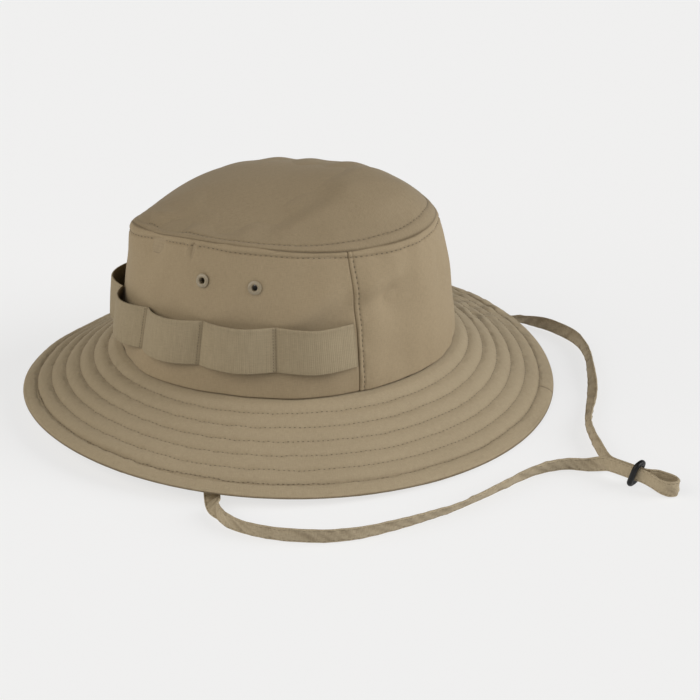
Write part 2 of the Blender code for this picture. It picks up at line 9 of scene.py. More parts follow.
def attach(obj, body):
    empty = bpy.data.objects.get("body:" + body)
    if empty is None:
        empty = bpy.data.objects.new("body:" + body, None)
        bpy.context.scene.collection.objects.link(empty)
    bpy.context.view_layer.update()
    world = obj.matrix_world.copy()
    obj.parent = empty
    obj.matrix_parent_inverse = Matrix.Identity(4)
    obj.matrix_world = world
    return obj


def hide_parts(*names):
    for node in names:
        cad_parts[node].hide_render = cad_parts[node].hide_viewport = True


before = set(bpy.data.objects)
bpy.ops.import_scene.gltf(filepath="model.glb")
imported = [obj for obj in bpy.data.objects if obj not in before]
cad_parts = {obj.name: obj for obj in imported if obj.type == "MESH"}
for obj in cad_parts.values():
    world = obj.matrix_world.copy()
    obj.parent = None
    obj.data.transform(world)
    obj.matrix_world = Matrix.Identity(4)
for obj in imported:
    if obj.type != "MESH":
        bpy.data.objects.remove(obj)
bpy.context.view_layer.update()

# ---------------------------------------------------------------- form, as in the CAD
BASE_L, BASE_W, TIP_L, TIP_W = 0.0990, 0.0895, 0.0900, 0.0660
CROWN_SHIFT, TIP_SHIFT = -0.0012, -0.0017
BRIM, PLY, GAP = 0.0588, 0.0006, 0.0003
THICK = 3 * PLY + 2 * GAP
SEAM, SEAM_LEAN = radians(41), radians(2)
LOOPS, WEB_RISE, WEB_RUN, WEB_T, WEB_BACK_DROP = 10, 0.0150, 0.0242, 0.0013, 0.0045
BAND_STEPS = 900
WALL_RADIUS, WALL_RISE, TIP_RADIUS = 0.087, 0.0765, 0.078   # rough, to turn angles and shares into metres
STITCH_IN, SEAM_STITCH_IN = 0.0042, 0.0026   # topstitch from the tip seam, and from the side seams
WALL_BULGE, BRIM_SAG, DOME_TOP, DOME_FULLNESS = 0.0022, 0.0012, 0.1349, 2.6


def phase(a, length, width):
    return np.arctan2(np.sin(a) / width, np.cos(a) / length)


def base_h(a):
    t = phase(a, BASE_L, BASE_W)
    return 0.0350 + 0.0009 * np.cos(t) - 0.0008 * np.cos(2 * t)


def tip_h(a):
    t = phase(a, TIP_L, TIP_W)
    return 0.1102 + 0.0050 * np.cos(t) - 0.0046 * np.cos(2 * t) + 0.0011 * np.sin(t) + 0.0021 * np.cos(3 * t)


def edge_h(a):
    t = phase(a, BASE_L + BRIM, BASE_W + BRIM)
    front = 0.0061 - 0.0011 * np.cos(t) - 0.0037 * np.cos(2 * t)
    return front - 0.0027 * np.sin(2 * t) + 0.0013 * np.sin(3 * t)


def band_low(a):
    return base_h(a) + WEB_RISE - WEB_BACK_DROP * np.maximum(-np.cos(a), 0) ** 2


def kink(a):
    """How far the tip seam is pushed up at the back right and, less, at the back left."""
    off = np.degrees((a - radians(157) + pi) % tau - pi)
    other = np.degrees((a + radians(160) + pi) % tau - pi)
    return 0.0034 * np.exp(-(off / 13) ** 2) + 0.0012 * np.exp(-(other / 15) ** 2)


def oval(a, length, width, cy, z):
    t = phase(a, length, width)
    return np.stack(np.broadcast_arrays(-width * np.sin(t), cy - length * np.cos(t), z), -1)


def wall(a, s, out=0.0):
    """The side band: s is 0 at the brim seam and 1 at the tip seam."""
    a, s, out = np.broadcast_arrays(a, s, out)
    low, high = base_h(a), tip_h(a)
    c = np.maximum(s, 0.0)
    lift = kink(a) * c ** 6
    bulge = WALL_BULGE * np.maximum(np.sin(pi * np.minimum(c, 1.0)), 0.0) ** 0.7 + out + lift * 0.5
    return oval(a, BASE_L + (TIP_L - BASE_L) * c + bulge, BASE_W + (TIP_W - BASE_W) * c + bulge,
                CROWN_SHIFT + TIP_SHIFT * c, low + (high - low) * s + lift)


def dome(a, r, up=0.0, out=0.0):
    """The tip: r is 0 in the middle and 1 at its seam."""
    a, r, up, out = np.broadcast_arrays(a, r, up, out)
    t = phase(a, TIP_L, TIP_W)
    swell = (0.0045 * np.cos(t) - 0.0012 * np.sin(t)) * r
    swell = swell + (0.0065 * np.cos(2 * t) + 0.0022 * np.cos(3 * t)) * r ** 2
    lift = kink(a) * r ** 3
    z = tip_h(a) + (DOME_TOP - tip_h(a) + 2 * swell) * (1 - r ** DOME_FULLNESS) + up + lift
    out = out + lift * 0.5
    return oval(a, TIP_L * r + out, TIP_W * r + out, CROWN_SHIFT + TIP_SHIFT, z)


def brim(a, r, up=0.0, out=0.0):
    """The brim's upper face: r is 0 at the crown and 1 at the edge."""
    a, r, up, out = np.broadcast_arrays(a, r, up, out)
    start, end = base_h(a) - GAP, edge_h(a) + THICK / 2
    z = start + (end - start) * r - BRIM_SAG * np.sin(pi * np.clip(r, 0, 1)) + up
    return oval(a, BASE_L + BRIM * r + out, BASE_W + BRIM * r + out, CROWN_SHIFT * (1 - r), z)


# ---------------------------------------------------------------- numeric helpers
def waves(p, size, seed, count=14):
    """Smooth noise about -1 to 1: a sum of seeded plane waves of one size, in metres."""
    rng = np.random.RandomState(seed)
    total = np.zeros(p.shape[:-1])
    for _ in range(count):
        k = rng.normal(size=3)
        k *= tau / size / np.linalg.norm(k) * rng.uniform(0.6, 1.5)
        total += np.sin(p @ k + rng.uniform(0, tau))
    return total / (0.7 * count ** 0.5 * 1.6)


def bump(x, centre, width):
    return np.exp(-((x - centre) / width) ** 2)


def turn_gap(a, b):
    """Signed difference of two angles."""
    return (a - b + pi) % tau - pi


def unit(v):
    return v / np.maximum(np.linalg.norm(v, axis=-1, keepdims=True), 1e-12)


def normals(p, closed):
    """Unit normals of a grid of points."""
    if closed:
        du = np.roll(p, -1, 0) - np.roll(p, 1, 0)
    else:
        du = np.gradient(p, axis=0)
    dv = np.gradient(p, axis=1)
    return unit(np.cross(du, dv))


def set_shade(piece, values):
    """Darkening of each vertex, from 0 to 1: painted shade in folds, seam grooves and stitch lines."""
    layer = piece.data.attributes.new("shade", "FLOAT", "POINT")
    layer.data.foreach_set("value", np.asarray(values, dtype=np.float32).ravel())


def mesh_object(name, verts, faces, uvs=None, smooth=True):
    mesh = bpy.data.meshes.new(name)
    mesh.from_pydata(np.asarray(verts).reshape(-1, 3).tolist(), [], faces)
    if uvs is not None:
        layer = mesh.uv_layers.new(name="weave")
        index = np.empty(len(mesh.loops), dtype=np.int32)
        mesh.loops.foreach_get("vertex_index", index)
        layer.data.foreach_set("uv", np.asarray(uvs).reshape(-1, 2)[index].ravel())
    mesh.validate()
    if smooth:
        mesh.shade_smooth()
    obj = bpy.data.objects.new(name, mesh)
    bpy.context.scene.collection.objects.link(obj)
    return obj


def skin_faces(nu, nv, closed, offset=0, flip=False):
    faces = []
    for i in range(nu if closed else nu - 1):
        j = (i + 1) % nu
        for k in range(nv - 1):
            f = (offset + i * nv + k, offset + j * nv + k, offset + j * nv + k + 1, offset + i * nv + k + 1)
            faces.append(f[::-1] if flip else f)
    return faces


def cloth(name, outer, inner, uv, closed, shade=None, inner_shade=None, capped=False):
    """A thin closed shell between two grids of points (around, across), or capped at their last rows."""
    nu, nv = outer.shape[:2]
    half = nu * nv
    faces = skin_faces(nu, nv, closed) + skin_faces(nu, nv, closed, half, True)
    for i in range(nu if closed else nu - 1):
        j = (i + 1) % nu
        faces.append((j * nv, i * nv, half + i * nv, half + j * nv))
        k = nv - 1
        if not capped:
            faces.append((i * nv + k, j * nv + k, half + j * nv + k, half + i * nv + k))
    if capped:
        last = range(nv - 1, half, nv)
        faces += [tuple(last), tuple(half + n for n in reversed(last))]
    if not closed:
        for k in range(nv - 1):
            faces.append((k + 1, k, half + k, half + k + 1)[::-1])
            e = (nu - 1) * nv
            faces.append((e + k, e + k + 1, half + e + k + 1, half + e + k)[::-1])
    verts = np.concatenate([outer.reshape(-1, 3), inner.reshape(-1, 3)])
    uvs = np.concatenate([uv.reshape(-1, 2), uv.reshape(-1, 2)])
    piece = mesh_object(name, verts, faces, uvs)
    shade = np.zeros(outer.shape[:2]) if shade is None else np.broadcast_to(shade, outer.shape[:2])
    inner_shade = shade if inner_shade is None else np.broadcast_to(inner_shade, shade.shape)
    set_shade(piece, np.concatenate([shade.ravel(), inner_shade.ravel()]))
    return piece


def place(piece, material, body="hat", replaces=()):
    piece.data.materials.clear()
    piece.data.materials.append(material)
    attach(piece, body)
    if replaces:
        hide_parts(*replaces)
    return piece


def stitches(name, rows, material, pitch=0.0027, length=0.0013, radius=0.00030, sunk=0.00008):
    """Thread stitches along rows of (points, normals): one short rounded thread each."""
    sides, stations = 6, ((-0.5, 0.25, -0.6), (-0.38, 0.85, -0.1), (0.0, 1.0, 0.25), (0.38, 0.85, -0.1),
                          (0.5, 0.25, -0.6))
    verts, faces = [], []
    for points, ups in rows:
        step = np.linalg.norm(np.diff(points, axis=0), axis=1)
        run = np.concatenate([[0], np.cumsum(step)])
        count = max(int(run[-1] / pitch), 1)
        mids = (np.arange(count) + 0.5) * run[-1] / count
        at = np.stack([np.interp(mids, run, points[:, c]) for c in range(3)], -1)
        ahead = np.stack([np.interp(mids + length / 2, run, points[:, c]) for c in range(3)], -1)
        back = np.stack([np.interp(mids - length / 2, run, points[:, c]) for c in range(3)], -1)
        up = unit(np.stack([np.interp(mids, run, ups[:, c]) for c in range(3)], -1))
        along = unit(ahead - back)
        side = np.cross(up, along)
        for n in range(count):
            first = len(verts)
            for x, size, lift in stations:
                centre = at[n] + along[n] * x * length + up[n] * (lift * radius - sunk)
                for k in range(sides):
                    t = tau * k / sides
                    verts.append(centre + (side[n] * cos(t) + up[n] * sin(t)) * radius * size)
            for row in range(len(stations) - 1):
                for k in range(sides):
                    m = (k + 1) % sides
                    b = first + row * sides
                    faces.append((b + k, b + m, b + sides + m, b + sides + k))
            faces.append(tuple(first + k for k in reversed(range(sides))))
            faces.append(tuple(first + (len(stations) - 1) * sides + k for k in range(sides)))
    piece = mesh_object(name, np.array(verts), faces)
    return place(piece, material)


# ---------------------------------------------------------------- materials
DARK_END, LIGHT_END = (0.52, 0.49, 0.45), (1.48, 1.51, 1.55)   # of a cloth's colour, in its threads
SHADE_STRENGTH, RIB_TONE, RIB_HEIGHT = 0.9, 0.035, 0.00006


def nodes_of(name):
    material = bpy.data.materials.new(name)
    material.use_nodes = True
    tree = material.node_tree
    return material, tree, tree.nodes["Principled BSDF"]


def node(tree, kind, **values):
    made = tree.nodes.new(kind)
    for key, value in values.items():
        if hasattr(made, key):
            setattr(made, key, value)
        else:
            made.inputs[key.replace("_", " ")].default_value = value
    return made


def thread_grid(tree, vector, warp, weft, roughness=0.5):
    """Two crossed sets of threads as stretched noise: returns their two value sockets."""
    sets = []
    for scale in ((warp, warp * 0.11, 1.0), (weft * 0.11, weft, 1.0)):
        mapping = node(tree, "ShaderNodeMapping")
        mapping.inputs["Scale"].default_value = scale
        tree.links.new(vector, mapping.inputs["Vector"])
        noise = node(tree, "ShaderNodeTexNoise", Scale=1.0, Detail=2.0, Roughness=roughness)
        tree.links.new(mapping.outputs[0], noise.inputs["Vector"])
        sets.append(noise.outputs[0])
    return sets


def math_node(tree, operation, a, b):
    made = node(tree, "ShaderNodeMath", operation=operation)
    for socket, value in zip(made.inputs, (a, b)):
        if isinstance(value, (int, float)):
            socket.default_value = value
        else:
            tree.links.new(value, socket)
    return made.outputs[0]


def colour_ramp(tree, start, dark, end, light):
    ramp = node(tree, "ShaderNodeValToRGB")
    for stop, position, colour in zip(ramp.color_ramp.elements, (start, end), (dark, light)):
        stop.position, stop.color = position, (*colour, 1.0)
    return ramp


def centred(tree, value, middle, factor):
    """(value - middle) * factor"""
    return math_node(tree, "MULTIPLY", math_node(tree, "SUBTRACT", value, middle), factor)


def cloth_material(name, colour, warp=2600.0, weft=2900.0, contrast=0.10, weave_bump=0.00003,
                   crumple=0.00016, sheen=0.10, rib=0.0):
    """Woven cloth: crossed thread noise for colour and relief, with soft broad mottling, darkened by the
    painted shade of each vertex.
    """
    material, tree, shader = nodes_of(name)
    coords = node(tree, "ShaderNodeUVMap", uv_map="weave").outputs[0]
    object_coords = node(tree, "ShaderNodeTexCoord").outputs["Object"]
    first, second = thread_grid(tree, coords, warp, weft)
    weave = math_node(tree, "ADD", first, second)
    broad = node(tree, "ShaderNodeTexNoise", Scale=28.0, Detail=4.0, Roughness=0.6)
    tree.links.new(object_coords, broad.inputs["Vector"])
    fine = node(tree, "ShaderNodeTexNoise", Scale=420.0, Detail=3.0, Roughness=0.7)
    tree.links.new(object_coords, fine.inputs["Vector"])
    tone = math_node(tree, "ADD", centred(tree, weave, 1.0, contrast * 3),
                     centred(tree, broad.outputs[0], 0.5, contrast * 1.1))
    tone = math_node(tree, "ADD", tone, centred(tree, fine.outputs[0], 0.5, contrast * 0.7))
    height = math_node(tree, "ADD", math_node(tree, "MULTIPLY", weave, weave_bump),
                       math_node(tree, "MULTIPLY", broad.outputs[0], crumple))
    if rib:
        mapping = node(tree, "ShaderNodeMapping")
        mapping.inputs["Scale"].default_value = (1.0 / rib, 1.0 / rib, 1.0)
        tree.links.new(coords, mapping.inputs["Vector"])
        wave = node(tree, "ShaderNodeTexWave", wave_type="BANDS", bands_direction="X",
                    Scale=0.314, Distortion=0.6, Detail=1.0)
        tree.links.new(mapping.outputs[0], wave.inputs["Vector"])
        tone = math_node(tree, "ADD", tone, centred(tree, wave.outputs["Fac"], 0.5, RIB_TONE))
        height = math_node(tree, "ADD", height, math_node(tree, "MULTIPLY", wave.outputs["Fac"], RIB_HEIGHT))
    dark = [c * f for c, f in zip(colour, DARK_END)]
    light = [min(c * f, 1.0) for c, f in zip(colour, LIGHT_END)]
    ramp = colour_ramp(tree, 0.0, dark, 1.0, light)
    # painted shade: each vertex's 'shade' value darkens the colour in grooves, folds and seams
    shade = node(tree, "ShaderNodeAttribute", attribute_name="shade", attribute_type="GEOMETRY")
    darker = math_node(tree, "MULTIPLY", shade.outputs["Fac"], SHADE_STRENGTH)
    tone = math_node(tree, "SUBTRACT", math_node(tree, "ADD", tone, 0.5), darker)
    tree.links.new(tone, ramp.inputs[0])
    tree.links.new(ramp.outputs[0], shader.inputs["Base Color"])
    relief = node(tree, "ShaderNodeBump", Strength=1.0, Distance=1.0)
    tree.links.new(height, relief.inputs["Height"])
    tree.links.new(relief.outputs[0], shader.inputs["Normal"])
    shader.inputs["Roughness"].default_value = 0.86
    shader.inputs["Specular IOR Level"].default_value = 0.25
    shader.inputs["Sheen Weight"].default_value = sheen
    shader.inputs["Sheen Roughness"].default_value = 0.45
    shader.inputs["Sheen Tint"].default_value = (0.92, 0.86, 0.74, 1.0)
    return material


def smooth_material(name, colour, roughness, noise_scale, relief_depth, contrast=0.1, coat=0.0, specular=0.5):
    """Paint or moulded rubber: a little uneven in colour and surface."""
    material, tree, shader = nodes_of(name)
    coords = node(tree, "ShaderNodeTexCoord").outputs["Object"]
    noise = node(tree, "ShaderNodeTexNoise", Scale=noise_scale, Detail=4.0, Roughness=0.6)
    tree.links.new(coords, noise.inputs["Vector"])
    dark, light = [c * (1 - contrast) for c in colour], [min(c * (1 + contrast), 1.0) for c in colour]
    ramp = colour_ramp(tree, 0.3, dark, 0.7, light)
    tree.links.new(noise.outputs[0], ramp.inputs[0])
    tree.links.new(ramp.outputs[0], shader.inputs["Base Color"])
    relief = node(tree, "ShaderNodeBump", Strength=0.6, Distance=relief_depth)
    tree.links.new(noise.outputs[0], relief.inputs["Height"])
    tree.links.new(relief.outputs[0], shader.inputs["Normal"])
    shader.inputs["Roughness"].default_value = roughness
    shader.inputs["Coat Weight"].default_value = coat
    shader.inputs["Coat Roughness"].default_value = 0.3
    shader.inputs["Specular IOR Level"].default_value = specular
    return material


CLOTH = (0.310, 0.241, 0.150)
body_cloth = cloth_material("body_cloth", CLOTH)
# the tip is a darker copy of the body cloth: painted shade on the top of the crown
shaded_tip_cloth = cloth_material("shaded_tip_cloth", tuple(0.875 * c for c in CLOTH))
# the brim is a lighter copy of the body cloth: painted light on the brim
lit_brim_cloth = cloth_material("lit_brim_cloth", (0.354, 0.285, 0.186), crumple=0.00030)
strap_cloth = cloth_material("strap_cloth", (0.365, 0.298, 0.198), contrast=0.2)
lining_cloth = cloth_material("lining_cloth", (0.30, 0.235, 0.150), warp=1100.0, weft=1100.0)
web_cloth = cloth_material("webbing", (0.298, 0.242, 0.156), warp=900.0, weft=2200.0, rib=0.0011, sheen=0.06)
label_cloth = cloth_material("label_cloth", (0.62, 0.60, 0.55), contrast=0.06, crumple=0.0001)
# dark thread: painted shade of the sunk stitches and their needle holes
thread = smooth_material("thread", (0.165, 0.128, 0.078), 0.75, 900.0, 0.0001, 0.25)
eyelet_paint = smooth_material("eyelet_paint", (0.265, 0.215, 0.140), 0.42, 600.0, 0.00003, 0.12, coat=0.25)
rubber = smooth_material("slider_rubber", (0.006, 0.006, 0.0065), 0.46, 500.0, 0.00004, 0.2, specular=0.25)


# ---------------------------------------------------------------- relief of the cloth
def wall_metres(a, s):
    """Rough surface coordinates of the side band in metres: round the hat, and up."""
    return a * WALL_RADIUS, s * WALL_RISE


def crease(x, y, start, end, width, depth):
    """A soft crease along a segment in surface metres, fading at its ends."""
    sx, sy = start
    dx, dy = end[0] - sx, end[1] - sy
    length = (dx * dx + dy * dy) ** 0.5
    along = ((x - sx) * dx + (y - sy) * dy) / length ** 2
    off = ((x - sx) * dy - (y - sy) * dx) / length
    past = np.clip(np.abs(along - 0.5) - 0.5, 0, 1)
    fade = np.sin(pi * np.clip(along * 0.8 + 0.1, 0, 1)) ** 2 * bump(past, 0.0, 0.1)
    return depth * bump(off, 0.0, width) * fade


def seam_gaps(a, s):
    """Distance in metres to the nearer side seam, positive towards the back."""
    right = turn_gap(a, SEAM - SEAM_LEAN * s) * WALL_RADIUS
    left = -turn_gap(a, SEAM_LEAN * s - SEAM) * WALL_RADIUS
    return np.where(np.abs(right) < np.abs(left), right, left)


# folds of the worn side band: start, end, width and depth in metres along it, from the middle of the front
WALL_FOLDS = (
    ((0.062, 0.062), (0.100, 0.036), 0.0070, 0.0017), ((0.056, 0.050), (0.096, 0.026), 0.0065, -0.0018),
    ((0.026, 0.066), (0.062, 0.050), 0.0060, 0.0015), ((0.024, 0.056), (0.060, 0.043), 0.0060, -0.0016),
    ((0.050, 0.066), (0.054, -0.004), 0.0080, 0.0016), ((0.036, 0.060), (0.040, -0.004), 0.0085, -0.0016),
    ((0.012, 0.070), (0.020, 0.000), 0.0100, 0.0014), ((0.1680, 0.0755), (0.1690, 0.0640), 0.0012, -0.0009),
    ((0.1720, 0.0750), (0.1730, 0.0660), 0.0018, 0.0006))
# rounded hollows and swellings: angle in degrees, share of the way up or out, half sizes and depth in metres
WALL_SPOTS = ((136, 0.92, 0.010, 0.006, -0.0016), (149, 0.93, 0.012, 0.008, 0.0016))
DOME_SPOTS = (
    (131, 0.90, 0.009, 0.004, -0.0028), (144, 0.87, 0.008, 0.005, 0.0022), (118, 0.90, 0.007, 0.005, 0.0012),
    (153, 0.93, 0.008, 0.003, -0.0016), (12, 0.90, 0.012, 0.004, -0.0018), (-2, 0.86, 0.010, 0.006, 0.0016),
    (74, 0.68, 0.030, 0.008, -0.0018), (40, 0.72, 0.022, 0.007, 0.0016), (100, 0.80, 0.016, 0.007, -0.0012),
    (28, 0.82, 0.012, 0.005, -0.0013), (229, 0.90, 0.009, 0.004, -0.0016), (300, 0.70, 0.030, 0.008, -0.0013))


def swelling(a, r, radius, reach, at_deg, at_r, around, across, depth):
    """One rounded hollow or swelling of a surface of this radius and reach in metres."""
    x, y = turn_gap(a, radians(at_deg)) * radius, (r - at_r) * reach
    return depth * np.exp(-(x / around) ** 2 - (y / across) ** 2)


def wall_relief(a, s):
    """Relief of the side band outside its plain shape, in metres."""
    a, s = np.broadcast_arrays(a, s)
    p = wall(a, s)
    quiet = 1 - 0.75 * bump(s, 0.34, 0.20)
    relief = 0.0010 * waves(p, 0.060, 3) * quiet + 0.00034 * waves(p * [1, 1, 0.6], 0.020, 5) * quiet
    high = (tip_h(a) - base_h(a)) * (1 - s)
    low = (tip_h(a) - base_h(a)) * s
    # topstitch under the tip seam: the allowance puffs, the stitch line dips, small puckers below
    relief += 0.00040 * bump(high, STITCH_IN / 2, 0.0012) - 0.00050 * bump(high, STITCH_IN, 0.0007)
    pucker = np.sin(a * 0.08 / 0.0037 + 2.0 * waves(p, 0.02, 9)) * 0.5 + waves(p, 0.006, 11) * 0.6
    relief += 0.00022 * pucker * bump(high, 0.0048, 0.0026)
    relief -= 0.0004 * bump(high, 0.0, 0.0005) + 0.0001 * bump(low, 0.0, 0.0005)
    # side seams: a sharp valley, the front edge folded over and stitched flat
    gap = seam_gaps(a, s)
    relief += -0.0003 * bump(gap, 0.0, 0.0004) + 0.00025 * bump(gap, -0.0012, 0.0008)
    relief -= 0.00030 * bump(gap, -SEAM_STITCH_IN, 0.0006)
    relief += 0.00018 * waves(p, 0.007, 21) * bump(gap, -0.003, 0.003)
    # lasting folds of the worn cloth, the same on both sides of the hat but for their strength
    x, y = wall_metres(turn_gap(a, 0), s)
    for side, share_of in ((1, 1.45), (-1, 1.0)):
        u = x * side
        strength = share_of * (1 - 0.65 * bump(s, 0.34, 0.20))
        relief += strength * sum(crease(u, y, *fold) for fold in WALL_FOLDS)
    relief += sum(swelling(a, s, WALL_RADIUS, WALL_RISE, *at) for at in WALL_SPOTS)
    return relief


def wall_shade(a, s):
    """Painted shade along the side band's seam grooves and stitch lines, and behind the webbing loops at the
    back.
    """
    high = (tip_h(a) - base_h(a)) * (1 - s)
    low = (tip_h(a) - base_h(a)) * s
    shade = 0.42 * bump(high, 0.0, 0.00036) + 0.35 * bump(low, 0.0, 0.0004)
    shade += 0.42 * bump(seam_gaps(a, s), 0.0, 0.00032)
    # painted shade inside the loops at the back, where the webbing shadows the band
    behind_web = bump(low + base_h(a) - band_low(a), WEB_RUN / 2, 0.008)
    shade += 0.45 * behind_web * np.clip(-1.6 * np.cos(a), 0, 1)
    shade += 0.10 * bump(high, STITCH_IN, 0.0006) + 0.10 * bump(seam_gaps(a, s), -SEAM_STITCH_IN, 0.0006)
    return np.clip(shade, 0, 1)


def wall_at(a, s, out=0.0):
    return wall(a, s, wall_relief(a, s) + out)


def dome_relief(a, r):
    """Relief of the tip above its plain shape, in metres."""
    a, r = np.broadcast_arrays(a, r)
    p = dome(a, r)
    inset = (1 - r) * TIP_RADIUS
    relief = (0.0013 * waves(p, 0.075, 31) + 0.00055 * waves(p, 0.024, 33)) * np.clip(inset / 0.02, 0, 1)
    relief += 0.00040 * bump(inset, 0.0020, 0.0013) - 0.00050 * bump(inset, STITCH_IN, 0.0007)
    pucker = np.sin(a * 0.08 / 0.0043 + 2.0 * waves(p, 0.02, 39)) * 0.5 + waves(p, 0.007, 41) * 0.6
    relief += 0.00024 * pucker * bump(inset, 0.0052, 0.0030)
    relief -= 0.0003 * bump(inset, 0.0, 0.0005)
    # marks left by packing: a kink at the back right, a dent at the front
    relief += sum(swelling(a, r, TIP_RADIUS * r, TIP_RADIUS, *at) for at in DOME_SPOTS)
    # worn flat in the middle, fuller towards the front
    relief += -0.0021 * bump(r, 0.0, 0.62) + 0.0019 * np.cos(a) * bump(r, 0.62, 0.28)
    return relief


def dome_at(a, r, up=0.0):
    return dome(a, r, dome_relief(a, r) + up)


QUILT = 7


def brim_relief(a, r, side=1):
    """Quilted rings between the stitch lines, with small puckers beside them."""
    a, r = np.broadcast_arrays(a, r)
    p = brim(a, r)
    cell = np.clip(r, 0, 1) * QUILT
    inside = np.sqrt(np.sin(pi * cell) ** 2 + 0.012) ** 0.85
    seed = 50 + side
    strength = 1 + 0.35 * waves(p, 0.06, seed) + 0.25 * np.abs(np.sin(a))
    relief = 0.00095 * (inside - 0.62) * strength
    relief -= 0.0008 * bump(cell, 6.0, 0.13) * (0.25 + 0.75 * np.sin(a) ** 2)
    pull = np.sin(a * 26 + 1.5 * np.floor(cell + 0.5)) * 0.3
    pucker = waves(p, 0.0075, seed + 2) * 0.6 + waves(p, 0.0042, seed + 4) * 0.4 + pull
    near = np.minimum(cell % 1, 1 - cell % 1)
    front_left = bump(turn_gap(a, radians(-52)), 0.0, 0.33)
    hem = np.clip((r - 0.84) * 30, 0, 1)
    relief += 0.00024 * pucker * np.exp(-(near / 0.28) ** 2) * (1 + 0.5 * np.sin(a) ** 2 + 0.7 * hem)
    relief += 0.00055 * (waves(p, 0.011, seed + 6) + 0.5 * waves(p, 0.006, seed + 8)) * front_left
    relief += 0.00060 * waves(p, 0.07, 61) * r ** 1.5
    return relief


def brim_top_at(a, r, up=0.0):
    return brim(a, r, brim_relief(a, r) + up)


# ---------------------------------------------------------------- crown
def grid(around, across):
    return np.meshgrid(around, across, indexing="ij")


def metric_uv(p, closed):
    """Weave coordinates in metres along both directions of a grid."""
    du = np.linalg.norm(np.diff(p, axis=0), axis=-1)
    dv = np.linalg.norm(np.diff(p, axis=1), axis=-1)
    u = np.concatenate([np.zeros((1, p.shape[1])), np.cumsum(du, 0)], 0).mean(1, keepdims=True)
    v = np.concatenate([np.zeros((p.shape[0], 1)), np.cumsum(dv, 1)], 1)
    return np.stack([np.broadcast_to(u, v.shape), v], -1)


def wall_rows(count):
    s = np.linspace(0, 1, count)
    return np.unique(np.concatenate([s, [0.003, 0.006, 0.010, 0.016], np.linspace(0.925, 1.0, 26)]))


def panel(name, start, end, end_lean, count, node_name):
    rows = wall_rows(70)
    t = np.linspace(0, 1, count)
    edge = np.minimum(t, 1 - t) * abs(end - start) * WALL_RADIUS
    angle = start + (end - start) * t
    a, s = grid(angle, rows)
    a = a - end_lean * (2 * t[:, None] - 1) * s
    top_gap = (0.0002 * np.clip((s - 0.9) / 0.1, 0, 1))
    outer = wall_at(a, s - top_gap / 0.075)
    tuck = 0.0001 * np.exp(-(edge[:, None] / 0.0004) ** 2)
    outer = outer - wall_normals(a, s) * tuck[..., None]
    inner = wall(a, s - top_gap / 0.075, -0.0019)
    piece = cloth(name, outer, inner, metric_uv(outer, False), False, wall_shade(a, s))
    return place(piece, body_cloth, replaces=(node_name,))


def wall_normals(a, s):
    e = 1e-3
    du = wall(a - e, s) - wall(a + e, s)
    dv = wall(a, s + e) - wall(a, s - e)
    return unit(np.cross(du, dv))


def punch(piece, holes, radius):
    """Cut round holes through a piece."""
    for number, (centre, axis) in enumerate(holes):
        turns = np.linspace(0, tau, 40, endpoint=False)
        side = axis.orthogonal().normalized()
        other = axis.cross(side)
        rim = [side * cos(t) * radius + other * sin(t) * radius for t in turns]
        verts = [centre + v + axis * 0.008 for v in rim] + [centre + v - axis * 0.008 for v in rim]
        n = len(rim)
        faces = [(i, (i + 1) % n, n + (i + 1) % n, n + i)[::-1] for i in range(n)]
        faces += [tuple(range(n)), tuple(reversed(range(n, 2 * n)))]
        cutter = mesh_object(f"punch_{number}", [tuple(v) for v in verts], faces, smooth=False)
        cut = piece.modifiers.new("punch", "BOOLEAN")
        cut.operation, cut.solver, cut.object = "DIFFERENCE", "EXACT", cutter
        with bpy.context.temp_override(object=piece, active_object=piece, selected_objects=[piece]):
            bpy.ops.object.modifier_apply(modifier=cut.name)
        bpy.data.objects.remove(cutter, do_unlink=True)
    piece.data.shade_smooth()
    piece.data.set_sharp_from_angle(angle=radians(50))


EYELETS = {}
for side, mirror in (("right", 1), ("left", -1)):
    for spot, degrees in (("front", 78.0), ("rear", 102.5)):
        angle = mirror * radians(degrees)
        at = Vector(wall(np.array(angle), np.array(0.74)))
        EYELETS[f"{side}_{spot}"] = (at, Vector(wall_normals(np.array(angle), np.array(0.74))))

front = panel("front_panel_cloth", -SEAM + 0.0006, SEAM - 0.0006, SEAM_LEAN, 320, "crown_front_panel")
back = panel("back_panel_cloth", SEAM + 0.0006, tau - SEAM - 0.0006, -SEAM_LEAN, 860, "crown_back_panel")
punch(back, EYELETS.values(), 0.0026)


def tip_piece():
    turns = np.linspace(0, tau, 480, endpoint=False)
    reach = np.unique(np.concatenate([np.linspace(0.02, 0.92, 56), np.linspace(0.92, 1.0, 34)]))[::-1]
    a, r = grid(turns, reach)
    inset = (1 - r) * TIP_RADIUS
    outer = dome_at(a, r)
    outer[..., 2] -= 0.00015 * bump(inset, 0.0, 0.0006)
    # painted shade in the tip seam's groove and along its stitch line
    shade = 0.42 * bump(inset, 0.0, 0.00036) + 0.10 * bump(inset, STITCH_IN, 0.0006)
    piece = cloth("crown_tip_cloth", outer, dome(a, r, -0.0009), outer[..., :2], True,
                  np.clip(shade, 0, 1), 0.0, capped=True)
    return place(piece, shaded_tip_cloth, replaces=("crown_tip",))


tip = tip_piece()

# ---------------------------------------------------------------- brim
ROWS = np.unique(np.concatenate([np.linspace(0, 1, 141), 1 - np.linspace(0, 0.022, 9)]))
TURNS = np.linspace(0, tau, 720, endpoint=False)


def brim_fold(r, width=0.0013):
    """Share of the half thickness left near the rounded edge."""
    e = np.clip((1 - r) * BRIM / width, 0, 1)
    return np.sqrt(np.clip(1 - (1 - e) ** 2, 0, 1))


